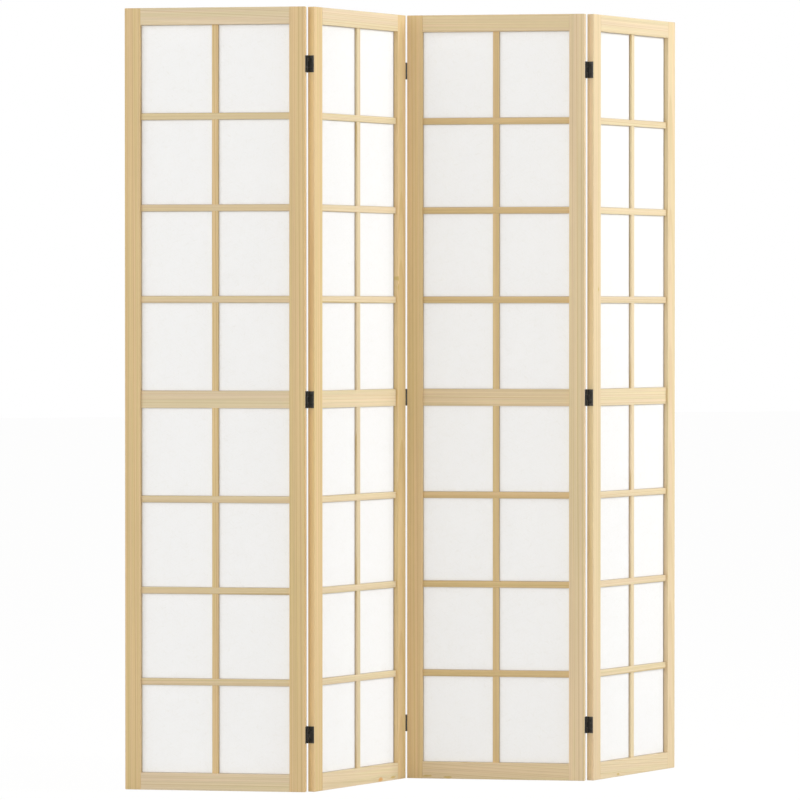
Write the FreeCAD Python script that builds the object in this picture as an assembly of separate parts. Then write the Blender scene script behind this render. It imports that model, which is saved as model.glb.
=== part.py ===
import FreeCAD, Part
import math
import os

# A folding screen: latticed pine panels backed with paper, joined edge to edge by small butt hinges.
# Lengths are in millimetres, angles in degrees, +Z is up and the viewer stands towards -Y.
#
# A panel is made flat first: x runs along its width from the left edge, y from its front face to its
# back face, and z up from the floor. Then it is turned and stood in its place in the zig-zag.
#
# A hinge leaf is made first in the frame of the edge that it lies on: x runs outwards from that edge,
# y inwards from the face that the knuckles stand at, and z up from the hinge's lower end.

Vector = FreeCAD.Vector
UP = Vector(0, 0, 1)
OUTWARDS = Vector(1, 0, 0)

# The whole screen
PANEL_COUNT = 4
PANEL_WIDTH = 400.0
PANEL_HEIGHT = 1700.0
PANEL_THICKNESS = 16.0
PANEL_HEADING = 35.4            # how far each panel turns from the line of the screen, to either side

# The frame of a panel
STILE_WIDTH = 35.0
TOP_RAIL_HEIGHT = 37.0
MIDDLE_RAIL_HEIGHT = 37.0
BOTTOM_RAIL_HEIGHT = 37.0
ARRIS = 0.6                     # chamfer on the edges of stiles and outer rails
TENON_LENGTH = 16.0
TENON_THICKNESS = 6.0
TENON_INNER_SHOULDER = 5.0      # cut from the rail beside the lattice
TENON_OUTER_SHOULDER = 12.0     # cut from the rail beside the end of the stile
JOINT_CLEARANCE = 0.1           # left round and beyond each tenon

# The lattice, set in the middle of the frame's thickness
LIGHT_COLUMNS = 2
LIGHT_ROWS = 4                  # in the field above the middle rail, and again in the one below
BAR_WIDTH = 14.0
BAR_THICKNESS = 6.0             # of the lattice bars and the middle rail
STUB_LENGTH = 4.0               # stub tenons on the ends of the bars
STUB_THICKNESS = 3.0
STUB_SHOULDER = 2.0

# The paper, glued to the back of the lattice and to a rebate in the frame
PAPER_THICKNESS = 0.3
REBATE_WIDTH = 4.0
PAPER_MARGIN = 0.5              # rebate left bare round the paper

# The hinges
HINGE_HEIGHT = 36.5
HINGE_END_DISTANCE = 123.5      # from the top or the bottom of the panel to the nearest hinge's centre
KNUCKLE_COUNT = 3
KNUCKLE_GAP = 0.25
BARREL_RADIUS = 1.8
LEAF_THICKNESS = 0.9
LEAF_MARGIN = 1.0               # edge left bare between the leaf and the face without knuckles
FOLDED_GAP = 0.6                # between the faces of two panels folded shut
SWING_CLEARANCE = 0.3           # between a barrel and what turns past it
PIN_RADIUS = 0.87
PIN_CLEARANCE = 0.03
PIN_HEAD_RADIUS = 1.4
PIN_HEAD_HEIGHT = 0.6

# The countersunk screws, two to a leaf
SCREW_SPACING = 21.0
SCREW_LENGTH = 12.0
SCREW_TIP_LENGTH = 2.5
SCREW_SHANK_RADIUS = 1.25
SCREW_HEAD_RADIUS = 2.4
SCREW_CLEARANCE = 0.05          # round the screw in its seat and its pilot hole
SLOT_LENGTH = 2.6               # the cross slot in the head
SLOT_WIDTH = 0.7
SLOT_DEPTH = 0.8

# Levels and places that follow from these sizes
BAR_FRONT = (PANEL_THICKNESS - BAR_THICKNESS) / 2
BAR_BACK = BAR_FRONT + BAR_THICKNESS
OPENING_BOTTOM = BOTTOM_RAIL_HEIGHT
OPENING_TOP = PANEL_HEIGHT - TOP_RAIL_HEIGHT
MIDDLE_RAIL_BOTTOM = (OPENING_BOTTOM + OPENING_TOP - MIDDLE_RAIL_HEIGHT) / 2
MIDDLE_RAIL_TOP = MIDDLE_RAIL_BOTTOM + MIDDLE_RAIL_HEIGHT
OPENING_WIDTH = PANEL_WIDTH - 2 * STILE_WIDTH
FIELDS = [(OPENING_BOTTOM, MIDDLE_RAIL_BOTTOM), (MIDDLE_RAIL_TOP, OPENING_TOP)]

PIN_DEPTH = FOLDED_GAP / 2      # from the panel's face out to the hinge pin's axis
PIN_REACH = math.sqrt((BARREL_RADIUS + SWING_CLEARANCE) ** 2 - (ARRIS + PIN_DEPTH) ** 2)
KNUCKLE_NOTCH = math.sqrt((BARREL_RADIUS + SWING_CLEARANCE) ** 2 - (PIN_REACH - LEAF_THICKNESS) ** 2) - PIN_DEPTH
LEAF_REACH = PANEL_THICKNESS - LEAF_MARGIN
HINGE_CENTRES = {
    "bottom": HINGE_END_DISTANCE,
    "middle": PANEL_HEIGHT / 2,
    "top": PANEL_HEIGHT - HINGE_END_DISTANCE,
}


def box(low, high):
    """A box between two opposite corners."""
    low = Vector(*low)
    size = Vector(*high) - low
    return Part.makeBox(size.x, size.y, size.z, low)


def grown(low, high, clearance):
    """A box that leaves this clearance round the box between two corners."""
    return box([value - clearance for value in low], [value + clearance for value in high])


def joined(first, *others):
    """One solid from pieces that touch or overlap."""
    return first.fuse(list(others)).removeSplitter()


def mirrored_across_width(shape):
    return shape.mirror(Vector(PANEL_WIDTH / 2, 0, 0), Vector(1, 0, 0))


# Places shared by the pieces of a lattice

def bar_columns():
    """The middle of each upright lattice bar, from the panel's left edge."""
    pitch = OPENING_WIDTH / LIGHT_COLUMNS
    return [STILE_WIDTH + pitch * column for column in range(1, LIGHT_COLUMNS)]


def bar_rows(field):
    """The middle of each cross strip in one field."""
    bottom, top = field
    pitch = (top - bottom) / LIGHT_ROWS
    return [bottom + pitch * row for row in range(1, LIGHT_ROWS)]


# Tenons, each as the two opposite corners of its box

def rail_tenon(bottom, top, thickness):
    """The left tenon of a rail, between these two heights."""
    front = (PANEL_THICKNESS - thickness) / 2
    return (STILE_WIDTH - TENON_LENGTH, front, bottom), (STILE_WIDTH, front + thickness, top)


def rail_tenons():
    """The left tenons of the bottom, middle and top rails."""
    bottom = rail_tenon(TENON_OUTER_SHOULDER, OPENING_BOTTOM - TENON_INNER_SHOULDER, TENON_THICKNESS)
    middle = rail_tenon(
        MIDDLE_RAIL_BOTTOM + TENON_INNER_SHOULDER,
        MIDDLE_RAIL_TOP - TENON_INNER_SHOULDER,
        BAR_THICKNESS,
    )
    top = rail_tenon(
        OPENING_TOP + TENON_INNER_SHOULDER,
        PANEL_HEIGHT - TENON_OUTER_SHOULDER,
        TENON_THICKNESS,
    )
    return bottom, middle, top


def strip_stub(height):
    """The left stub tenon of the cross strip at this height."""
    front = (PANEL_THICKNESS - STUB_THICKNESS) / 2
    rise = BAR_WIDTH / 2 - STUB_SHOULDER
    return (STILE_WIDTH - STUB_LENGTH, front, height - rise), (STILE_WIDTH, front + STUB_THICKNESS, height + rise)


def upright_stub(column, shoulder, length):
    """A stub tenon of an upright bar, from its shoulder up, or down where the length is negative."""
    front = (PANEL_THICKNESS - STUB_THICKNESS) / 2
    spread = BAR_WIDTH / 2 - STUB_SHOULDER
    low = min(shoulder, shoulder + length)
    high = max(shoulder, shoulder + length)
    return (column - spread, front, low), (column + spread, front + STUB_THICKNESS, high)


def upright_stubs():
    """The stub tenons at both ends of every upright bar."""
    stubs = []
    for column in bar_columns():
        for bottom, top in FIELDS:
            stubs.append(upright_stub(column, bottom, -STUB_LENGTH))
            stubs.append(upright_stub(column, top, STUB_LENGTH))
    return stubs


# The frame of a panel

def rebate():
    """The recess behind the opening that takes the paper's border."""
    low = (STILE_WIDTH - REBATE_WIDTH, BAR_BACK, OPENING_BOTTOM - REBATE_WIDTH)
    high = (PANEL_WIDTH - STILE_WIDTH + REBATE_WIDTH, PANEL_THICKNESS, OPENING_TOP + REBATE_WIDTH)
    return box(low, high)


def left_stile():
    stile = box((0, 0, 0), (STILE_WIDTH, PANEL_THICKNESS, PANEL_HEIGHT))
    stile = stile.makeChamfer(ARRIS, stile.Edges)
    mortises = [grown(low, high, JOINT_CLEARANCE) for low, high in rail_tenons()]
    for field in FIELDS:
        for height in bar_rows(field):
            mortises.append(grown(*strip_stub(height), JOINT_CLEARANCE))
    return stile.cut(mortises + [rebate()])


def is_along_width(edge):
    return abs(edge.tangentAt(edge.FirstParameter).x) > 0.5


def frame_rail(bottom, top, tenon):
    """A rail of the full thickness, tenoned at both ends and mortised for the upright bars."""
    rail = box((STILE_WIDTH, 0, bottom), (PANEL_WIDTH - STILE_WIDTH, PANEL_THICKNESS, top))
    rail = rail.makeChamfer(ARRIS, [edge for edge in rail.Edges if is_along_width(edge)])
    return finished_rail(rail, tenon).cut(rebate())


def middle_rail(tenon):
    """A thin rail, level with the lattice."""
    low = (STILE_WIDTH, BAR_FRONT, MIDDLE_RAIL_BOTTOM)
    rail = box(low, (PANEL_WIDTH - STILE_WIDTH, BAR_BACK, MIDDLE_RAIL_TOP))
    return finished_rail(rail, tenon)


def finished_rail(rail, tenon):
    left = box(*tenon)
    rail = joined(rail, left, mirrored_across_width(left))
    return rail.cut([grown(*stub, JOINT_CLEARANCE) for stub in upright_stubs()])


# The lattice and the paper

def upright_bar(column, field):
    """An upright bar, lapped on its front half where the cross strips pass over it."""
    bottom, top = field
    left = column - BAR_WIDTH / 2
    right = column + BAR_WIDTH / 2
    bar = box((left, BAR_FRONT, bottom), (right, BAR_BACK, top))
    stubs = [box(*upright_stub(column, bottom, -STUB_LENGTH)), box(*upright_stub(column, top, STUB_LENGTH))]
    return joined(bar, *stubs).cut([lap(column, height, BAR_FRONT) for height in bar_rows(field)])


def cross_strip(height):
    """A cross strip, lapped on its back half where it passes over the upright bars."""
    low = (STILE_WIDTH, BAR_FRONT, height - BAR_WIDTH / 2)
    strip = box(low, (PANEL_WIDTH - STILE_WIDTH, BAR_BACK, height + BAR_WIDTH / 2))
    left = box(*strip_stub(height))
    strip = joined(strip, left, mirrored_across_width(left))
    middle = BAR_FRONT + BAR_THICKNESS / 2
    return strip.cut([lap(column, height, middle) for column in bar_columns()])


def lap(column, height, front):
    """Half of the crossing of two bars, from this depth back."""
    half = BAR_WIDTH / 2
    low = (column - half, front, height - half)
    return box(low, (column + half, front + BAR_THICKNESS / 2, height + half))


def paper():
    border = REBATE_WIDTH - PAPER_MARGIN
    low = (STILE_WIDTH - border, BAR_BACK, OPENING_BOTTOM - border)
    high = (PANEL_WIDTH - STILE_WIDTH + border, BAR_BACK + PAPER_THICKNESS, OPENING_TOP + border)
    return box(low, high)


# The hinges

def knuckle_spans():
    """The lower and upper end of each knuckle, from the hinge's lower end."""
    height = (HINGE_HEIGHT - (KNUCKLE_COUNT - 1) * KNUCKLE_GAP) / KNUCKLE_COUNT
    bottoms = [(height + KNUCKLE_GAP) * number for number in range(KNUCKLE_COUNT)]
    return [(bottom, bottom + height) for bottom in bottoms]


def barrel_cylinder(radius, bottom, top):
    return Part.makeCylinder(radius, top - bottom, Vector(PIN_REACH, -PIN_DEPTH, bottom), UP)


def screw_heights():
    return [(HINGE_HEIGHT - SCREW_SPACING) / 2, (HINGE_HEIGHT + SCREW_SPACING) / 2]


def screw_body(height, clearance):
    """A countersunk screw without its slot, driven inwards, with a clearance all round."""
    depth = (KNUCKLE_NOTCH + LEAF_REACH) / 2
    head_height = SCREW_HEAD_RADIUS - SCREW_SHANK_RADIUS
    neck = LEAF_THICKNESS - head_height
    tip = LEAF_THICKNESS - SCREW_LENGTH
    shank = SCREW_SHANK_RADIUS + clearance
    head = Part.makeCone(
        shank, SCREW_HEAD_RADIUS + clearance, head_height, Vector(neck, depth, height), OUTWARDS
    )
    stem_length = neck - tip - SCREW_TIP_LENGTH
    stem = Part.makeCylinder(
        shank, stem_length, Vector(neck - stem_length, depth, height), OUTWARDS
    )
    point = Part.makeCone(
        clearance, shank, SCREW_TIP_LENGTH, Vector(tip, depth, height), OUTWARDS
    )
    return joined(head, stem, point)


def screw(height):
    depth = (KNUCKLE_NOTCH + LEAF_REACH) / 2
    long_half = SLOT_LENGTH / 2
    short_half = SLOT_WIDTH / 2
    floor = LEAF_THICKNESS - SLOT_DEPTH
    upright = box(
        (floor, depth - short_half, height - long_half),
        (LEAF_THICKNESS, depth + short_half, height + long_half),
    )
    level = box(
        (floor, depth - long_half, height - short_half),
        (LEAF_THICKNESS, depth + long_half, height + short_half),
    )
    return screw_body(height, 0).cut([upright, level])


def leaf(first_knuckle):
    """A leaf with every second knuckle, from this one up, cut back clear of the other leaf's knuckles."""
    pieces = [box((0, KNUCKLE_NOTCH, 0), (LEAF_THICKNESS, LEAF_REACH, HINGE_HEIGHT))]
    spans = knuckle_spans()[first_knuckle::2]
    for bottom, top in spans:
        pieces.append(box((0, -PIN_DEPTH, bottom), (LEAF_THICKNESS, KNUCKLE_NOTCH, top)))
        pieces.append(barrel_cylinder(BARREL_RADIUS, bottom, top))
    bore = barrel_cylinder(PIN_RADIUS + PIN_CLEARANCE, 0, HINGE_HEIGHT)
    seats = [screw_body(height, SCREW_CLEARANCE) for height in screw_heights()]
    return joined(*pieces).cut([bore] + seats)


def hinge_pin():
    """A pin whose ends are spread into heads over the outer knuckles."""
    axis = Vector(PIN_REACH, -PIN_DEPTH, 0)
    stem = barrel_cylinder(PIN_RADIUS, 0, HINGE_HEIGHT)
    upper = Part.makeCone(PIN_HEAD_RADIUS, PIN_RADIUS, PIN_HEAD_HEIGHT, axis + UP * HINGE_HEIGHT, UP)
    lower = Part.makeCone(PIN_HEAD_RADIUS, PIN_RADIUS, PIN_HEAD_HEIGHT, axis, -UP)
    return joined(stem, upper, lower)


def on_edge(shape, edge, face, centre):
    """Move a hinge piece from its own frame to an edge of a panel."""
    shape = shape.translated(UP * (centre - HINGE_HEIGHT / 2))
    if edge == "left":
        shape = shape.mirror(Vector(0, 0, 0), Vector(1, 0, 0))
    else:
        shape = shape.translated(Vector(PANEL_WIDTH, 0, 0))
    if face == "back":
        shape = shape.mirror(Vector(0, PANEL_THICKNESS / 2, 0), Vector(0, 1, 0))
    return shape


def with_pilot_holes(stile, edge, face):
    """A stile drilled for the hinge screws in its outer edge."""
    holes = []
    for centre in HINGE_CENTRES.values():
        for height in screw_heights():
            holes.append(on_edge(screw_body(height, SCREW_CLEARANCE), edge, face, centre))
    return stile.cut(holes)


# The zig-zag

def fold_face(fold):
    """The face that holds a fold's knuckles. Fold 0 and the last one are the free ends."""
    return "back" if fold % 2 else "front"


def panel_turn(panel):
    heading = -PANEL_HEADING if panel % 2 else PANEL_HEADING
    return FreeCAD.Rotation(UP, heading)


def pin_in_panel(edge, face):
    """The axis of the pin beside an edge, in the flat panel's frame."""
    x = -PIN_REACH if edge == "left" else PANEL_WIDTH + PIN_REACH
    y = -PIN_DEPTH if face == "front" else PANEL_THICKNESS + PIN_DEPTH
    return Vector(x, y, 0)


def panel_places():
    """Each panel's turn and place, laid pin to pin and then centred on the origin."""
    pins = [Vector(0, 0, 0)]
    corners = []
    for panel in range(1, PANEL_COUNT + 1):
        turn = panel_turn(panel)
        corner = pins[-1] - turn.multVec(pin_in_panel("left", fold_face(panel - 1)))
        corners.append(corner)
        pins.append(corner + turn.multVec(pin_in_panel("right", fold_face(panel))))
    centre = Vector((pins[0].x + pins[-1].x) / 2, (pins[0].y + pins[1].y) / 2, 0)
    places = {}
    for panel, corner in enumerate(corners, start=1):
        places[panel] = FreeCAD.Placement(corner - centre, panel_turn(panel))
    return places


def save(name, shapes, place):
    """Stand the solids of one node in their place and write them."""
    shape = shapes[0] if len(shapes) == 1 else Part.makeCompound(shapes)
    shape.transformed(place.toMatrix(), True).exportStep(f"parts/{name}.step")


def build_panel(panel, place):
    left = left_stile()
    right = mirrored_across_width(left)
    if panel > 1:
        left = with_pilot_holes(left, "left", fold_face(panel - 1))
    if panel < PANEL_COUNT:
        right = with_pilot_holes(right, "right", fold_face(panel))
    bottom_tenon, middle_tenon, top_tenon = rail_tenons()
    uprights = [upright_bar(column, field) for field in FIELDS for column in bar_columns()]
    strips = [cross_strip(height) for field in FIELDS for height in bar_rows(field)]

    name = f"panel_{panel}"
    save(f"{name}_left_stile", [left], place)
    save(f"{name}_right_stile", [right], place)
    save(f"{name}_top_rail", [frame_rail(OPENING_TOP, PANEL_HEIGHT, top_tenon)], place)
    save(f"{name}_middle_rail", [middle_rail(middle_tenon)], place)
    save(f"{name}_bottom_rail", [frame_rail(0, OPENING_BOTTOM, bottom_tenon)], place)
    save(f"{name}_lattice_uprights", uprights, place)
    save(f"{name}_lattice_strips", strips, place)
    save(f"{name}_paper", [paper()], place)


def build_fold(fold, left_place, right_place):
    """The hinges of one fold: each has its left leaf on the left-hand panel's right edge."""
    face = fold_face(fold)
    sides = [("left", "right", left_place, 0), ("right", "left", right_place, 1)]
    for side, edge, place, first_knuckle in sides:
        screws = []
        for level, centre in HINGE_CENTRES.items():
            placed_leaf = on_edge(leaf(first_knuckle), edge, face, centre)
            save(f"hinge_{fold}_{level}_{side}_leaf", [placed_leaf], place)
            screws += [on_edge(screw(height), edge, face, centre) for height in screw_heights()]
        save(f"hinge_{fold}_{side}_screws", screws, place)
    pins = [on_edge(hinge_pin(), "right", face, centre) for centre in HINGE_CENTRES.values()]
    save(f"hinge_{fold}_pins", pins, left_place)


def main():
    os.makedirs("parts", exist_ok=True)
    places = panel_places()
    for panel, place in places.items():
        build_panel(panel, place)
    for fold in range(1, PANEL_COUNT):
        build_fold(fold, places[fold], places[fold + 1])


main()
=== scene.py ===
"""A four-panel shoji folding screen: pine frames and lattice, paper behind, black hinges.

Every length is in metres. A panel's own frame has x along its width from its left edge,
y from its front face to its back, and z up. A plank's own frame has x along the grain,
y across its face and z through its thickness.
"""

import math
import random

import bmesh
import bpy
from mathutils import Euler, Matrix, Vector


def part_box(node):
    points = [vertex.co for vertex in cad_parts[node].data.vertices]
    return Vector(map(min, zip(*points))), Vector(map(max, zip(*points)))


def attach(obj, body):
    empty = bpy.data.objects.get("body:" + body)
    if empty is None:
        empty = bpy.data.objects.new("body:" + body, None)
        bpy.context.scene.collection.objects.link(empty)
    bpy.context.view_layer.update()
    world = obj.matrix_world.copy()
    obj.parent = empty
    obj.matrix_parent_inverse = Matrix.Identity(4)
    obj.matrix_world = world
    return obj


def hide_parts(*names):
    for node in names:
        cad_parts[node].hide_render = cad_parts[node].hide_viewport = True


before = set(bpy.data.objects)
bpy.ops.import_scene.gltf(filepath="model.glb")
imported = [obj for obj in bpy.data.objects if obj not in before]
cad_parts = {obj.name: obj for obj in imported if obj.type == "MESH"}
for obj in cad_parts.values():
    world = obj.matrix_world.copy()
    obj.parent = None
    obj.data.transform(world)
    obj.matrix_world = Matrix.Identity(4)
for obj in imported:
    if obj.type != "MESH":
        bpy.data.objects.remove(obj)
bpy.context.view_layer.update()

MM = 0.001
PANELS = (1, 2, 3, 4)
FOLDS = (1, 2, 3)
HEADING = math.radians(35.4)            # odd panels turn this far one way, even panels the other

# A panel
PANEL_WIDTH = 400 * MM
PANEL_HEIGHT = 1700 * MM
PANEL_THICKNESS = 16 * MM
STILE_WIDTH = 35 * MM
RAIL_HEIGHT = 37 * MM
BAR_WIDTH = 14 * MM
BAR_THICKNESS = 6 * MM
BAR_FRONT = 5 * MM
BAR_ARRIS = 0.5 * MM
PAPER_THICKNESS = 0.3 * MM
FIELDS = 2                              # above and below the middle rail
LIGHT_COLUMNS = 2                       # in each field
LIGHT_ROWS = 4
OVERCUT = 1 * MM                        # how far the cutter of a half lap passes the bar

# A hinge
LEVELS = ("top", "middle", "bottom")
HINGE_TO_END = 123.5 * MM               # from an outer hinge's middle to the panel's top or bottom
LEAF_THICKNESS = 0.9 * MM
SCREWS_IN_LEAF = 2
SCREW_SPACING = 21 * MM
SCREW_INSET = 8.275 * MM                # from the face that holds the knuckles
SCREW_HEAD_RADIUS = 2.4 * MM
SCREW_SHANK_RADIUS = 1.25 * MM
SCREW_TIP_RADIUS = 0.1 * MM
SCREW_LENGTH = 12 * MM
SCREW_TIP_LENGTH = 2.5 * MM
SLOT_LENGTH = 2.6 * MM
SLOT_WIDTH = 0.7 * MM
SLOT_DEPTH = 0.8 * MM
METAL_ARRIS = 0.12 * MM
MERGE_DISTANCE = 0.001 * MM
FLAT_ANGLE = math.radians(1)            # faces that turn less than this become one flat face
SHARP_ANGLE = math.radians(35)          # edges that turn more than this are shaded sharp
BEVEL_ANGLE = math.radians(40)          # and more than this are bevelled

# Painted shade where the wood meets the paper
PAINTED_SHADE_REACH = 3.5 * MM                   # from the paper's front
UNSHADED_EDGE = 5 * MM                     # no painted shade this near to a panel's outer edges
PAINTED_SHADE_STRENGTH = 0.55
EDGE_SHADE_CORE = 0.4 * MM              # a line of painted shade fades from here, each side of a bar's edge
EDGE_SHADE_END = 1.9 * MM               # to here
EDGE_SHADE_STRENGTH = 0.45

FIELD_HEIGHT = (PANEL_HEIGHT - 3 * RAIL_HEIGHT) / 2
FIELD_STEP = Vector((0, 0, FIELD_HEIGHT + RAIL_HEIGHT))
ROW_STEP = Vector((0, 0, FIELD_HEIGHT / LIGHT_ROWS))    # from the middle of one strip to the next
FIRST_ROW = RAIL_HEIGHT + ROW_STEP.z
BAR_MIDDLE = BAR_FRONT + BAR_THICKNESS / 2
OPENING_WIDTH = PANEL_WIDTH - 2 * STILE_WIDTH


# Small helpers for node trees

def srgb(red, green, blue):
    """A colour as it is seen, from 0 to 255, as the shader's linear colour."""
    def linear(level):
        level /= 255
        return level / 12.92 if level <= 0.04045 else ((level + 0.055) / 1.055) ** 2.4
    return (linear(red), linear(green), linear(blue), 1)


def fill(tree, node, inputs):
    """Link each input to a socket, or give it a value."""
    for key, value in inputs.items():
        if isinstance(value, bpy.types.NodeSocket):
            tree.links.new(value, node.inputs[key])
        else:
            node.inputs[key].default_value = value


def add(tree, kind, inputs=None, **settings):
    """A new node with its settings and inputs."""
    node = tree.nodes.new(kind)
    for name, value in settings.items():
        setattr(node, name, value)
    fill(tree, node, inputs or {})
    return node


def reckon(tree, operation, *values):
    """The output of a Math node."""
    return add(tree, "ShaderNodeMath", dict(enumerate(values)), operation=operation).outputs[0]


def vector_of(tree, operation, *values):
    """The output of a Vector Math node, a number for LENGTH."""
    node = add(tree, "ShaderNodeVectorMath", dict(enumerate(values)), operation=operation)
    return node.outputs["Value" if operation == "LENGTH" else "Vector"]


def vector_from(tree, x=0.0, y=0.0, z=0.0):
    """A vector from its three parts."""
    return add(tree, "ShaderNodeCombineXYZ", {0: x, 1: y, 2: z}).outputs[0]


def scaled(tree, vector, factor):
    """A vector made longer or shorter."""
    inputs = {0: vector, "Scale": factor}
    return add(tree, "ShaderNodeVectorMath", inputs, operation="SCALE").outputs["Vector"]


def blend_of(tree, amount, first, second, how="MIX"):
    """The colour output of a Mix node, whose colours are its sockets 6, 7 and, going out, 2."""
    node = add(tree, "ShaderNodeMix", data_type="RGBA", blend_type=how)
    fill(tree, node, {0: amount, 6: first, 7: second})
    return node.outputs[2]


def ranged(tree, value, low, high, to_low=0.0, to_high=1.0, smooth=False):
    """A Map Range output, held between its two ends."""
    inputs = {"Value": value, "From Min": low, "From Max": high, "To Min": to_low, "To Max": to_high}
    how = "SMOOTHSTEP" if smooth else "LINEAR"
    return add(tree, "ShaderNodeMapRange", inputs, interpolation_type=how).outputs[0]


def noise_of(tree, vector, stretch, detail=2.0, output="Fac"):
    """Noise whose scale differs along each axis, in features to the metre."""
    place = vector_of(tree, "MULTIPLY", vector, stretch)
    inputs = {"Vector": place, "Scale": 1.0, "Detail": detail, "Roughness": 0.55}
    return add(tree, "ShaderNodeTexNoise", inputs).outputs[output]


def new_group(name, kind, inputs, outputs):
    """A node group with named sockets. Returns it with its input and output nodes."""
    tree = bpy.data.node_groups.new(name, kind)
    for in_out, sockets in (("INPUT", inputs), ("OUTPUT", outputs)):
        for label, socket_type, *default in sockets:
            socket = tree.interface.new_socket(label, in_out=in_out, socket_type=socket_type)
            if default:
                socket.default_value = default[0]
    return tree, tree.nodes.new("NodeGroupInput").outputs, tree.nodes.new("NodeGroupOutput").inputs


NUMBER, COLOUR, VECTOR = "NodeSocketFloat", "NodeSocketColor", "NodeSocketVector"
WHOLE, MATERIAL, GEOMETRY = "NodeSocketInt", "NodeSocketMaterial", "NodeSocketGeometry"


# The effects that several materials share

def branch_knot_group():
    """Where a branch came through a plank: the grain flows round it, and its own rings show."""
    tree, given, made = new_group(
        "branch knot", "ShaderNodeTree",
        [("Place", VECTOR), ("Centre", VECTOR), ("Half Length", NUMBER, 8 * MM),
         ("Half Width", NUMBER, 4 * MM)],
        [("Place", VECTOR), ("Mask", NUMBER)])
    size = vector_from(tree, given["Half Length"], given["Half Width"], 1.0)
    offset = vector_of(tree, "SUBTRACT", given["Place"], given["Centre"])
    flat = vector_of(tree, "DIVIDE", vector_of(tree, "MULTIPLY", offset, (1.0, 1.0, 0.0)), size)
    stir = noise_of(tree, given["Place"], (110, 260, 60), 2.0, "Color")
    stir = vector_of(tree, "MULTIPLY", vector_of(tree, "SUBTRACT", stir, (0.5, 0.5, 0.5)), (1.1, 1.1, 0.0))
    away = vector_of(tree, "LENGTH", vector_of(tree, "ADD", flat, stir))
    # The grain beside the knot is read from nearer to its middle line, so it bows round the knot
    flow = vector_of(tree, "LENGTH", vector_of(tree, "MULTIPLY", flat, (0.55, 0.7, 0.0)))
    squared = reckon(tree, "MULTIPLY", flow, flow)
    near = reckon(tree, "EXPONENT", reckon(tree, "MULTIPLY", squared, -0.6))
    pull = scaled(tree, offset, reckon(tree, "MULTIPLY", near, -0.85))
    pull = vector_of(tree, "MULTIPLY", pull, (0.0, 1.0, 0.0))
    tree.links.new(vector_of(tree, "ADD", given["Place"], pull), made["Place"])
    mask = ranged(tree, away, 0.5, 1.2, 0.9, 0.0, smooth=True)
    rings = reckon(tree, "SINE", reckon(tree, "MULTIPLY", away, 11.0))
    tree.links.new(reckon(tree, "MULTIPLY", mask, ranged(tree, rings, -1.0, 1.0, 0.75, 1.0)), made["Mask"])
    return tree


def pine_grain_group():
    """Growth rings round a distant pith, cut by the plank's faces, with fibres and soft streaks."""
    tree, given, made = new_group(
        "pine grain", "ShaderNodeTree",
        [("Place in Log", VECTOR), ("Ring Spacing", NUMBER, 4 * MM), ("Waviness", NUMBER, 3 * MM),
         ("Taper", NUMBER, 0.01), ("Early Wood", COLOUR), ("Late Wood", COLOUR), ("Figure", NUMBER, 1.0)],
        [("Color", COLOUR), ("Roughness", NUMBER), ("Height", NUMBER)])
    place = given["Place in Log"]

    sway = noise_of(tree, place, (1.6, 16, 16), 2.0, "Color")
    sway = scaled(tree, vector_of(tree, "SUBTRACT", sway, (0.5, 0.5, 0.5)), given["Waviness"])
    across = vector_of(tree, "ADD", place, sway)
    across = vector_of(tree, "MULTIPLY", across, (0.0, 1.0, 1.0))
    along = add(tree, "ShaderNodeSeparateXYZ", {0: place}).outputs["X"]
    radius = reckon(tree, "ADD", vector_of(tree, "LENGTH", across),
                    reckon(tree, "MULTIPLY", along, given["Taper"]))
    year = reckon(tree, "DIVIDE", radius, given["Ring Spacing"])
    seasons = add(tree, "ShaderNodeTexNoise", {"W": year, "Scale": 0.45, "Detail": 1.0},
                  noise_dimensions="1D").outputs["Fac"]
    year = reckon(tree, "ADD", year, reckon(tree, "MULTIPLY", seasons, 1.8))
    season = reckon(tree, "FRACT", year)
    late = reckon(tree, "MULTIPLY", ranged(tree, season, 0.4, 0.9, smooth=True),
                  ranged(tree, season, 0.92, 1.0, 1.0, 0.0, smooth=True))
    vigour = add(tree, "ShaderNodeTexNoise", {"W": year, "Scale": 0.8, "Detail": 0.0},
                 noise_dimensions="1D").outputs["Fac"]
    late = reckon(tree, "MULTIPLY", late, ranged(tree, vigour, 0.3, 0.7, 0.25, 1.0))
    late = reckon(tree, "MULTIPLY", late, given["Figure"])

    streaks = noise_of(tree, place, (1.6, 210, 210), 3.0)
    fibres = noise_of(tree, place, (45, 2200, 2200), 2.0)
    clouds = noise_of(tree, place, (2.2, 26, 26), 2.0)
    blush = noise_of(tree, place, (1.5, 115, 115), 2.0)

    wood = blend_of(tree, late, given["Early Wood"], given["Late Wood"])
    pink = blend_of(tree, ranged(tree, blush, 0.35, 0.65), (0.985, 1.001, 0.955, 1), (1.02, 0.989, 1.035, 1))
    wood = blend_of(tree, 1.0, wood, pink, "MULTIPLY")
    tone = reckon(tree, "ADD", ranged(tree, streaks, 0.25, 0.75, -0.06, 0.05),
                  ranged(tree, clouds, 0.3, 0.7, -0.035, 0.035))
    tone = reckon(tree, "ADD", tone, ranged(tree, fibres, 0.25, 0.75, -0.045, 0.035))
    tone = reckon(tree, "ADD", tone, 1.0)
    lit = add(tree, "ShaderNodeCombineColor", {0: tone, 1: tone, 2: tone}).outputs[0]
    wood = blend_of(tree, 1.0, wood, lit, "MULTIPLY")
    tree.links.new(wood, made["Color"])

    rough = reckon(tree, "ADD", ranged(tree, fibres, 0.2, 0.8, 0.5, 0.62),
                   reckon(tree, "MULTIPLY", late, -0.07))
    tree.links.new(rough, made["Roughness"])
    relief = reckon(tree, "ADD", reckon(tree, "MULTIPLY", late, 0.5), reckon(tree, "MULTIPLY", fibres, 0.6))
    tree.links.new(relief, made["Height"])
    return tree


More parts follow.
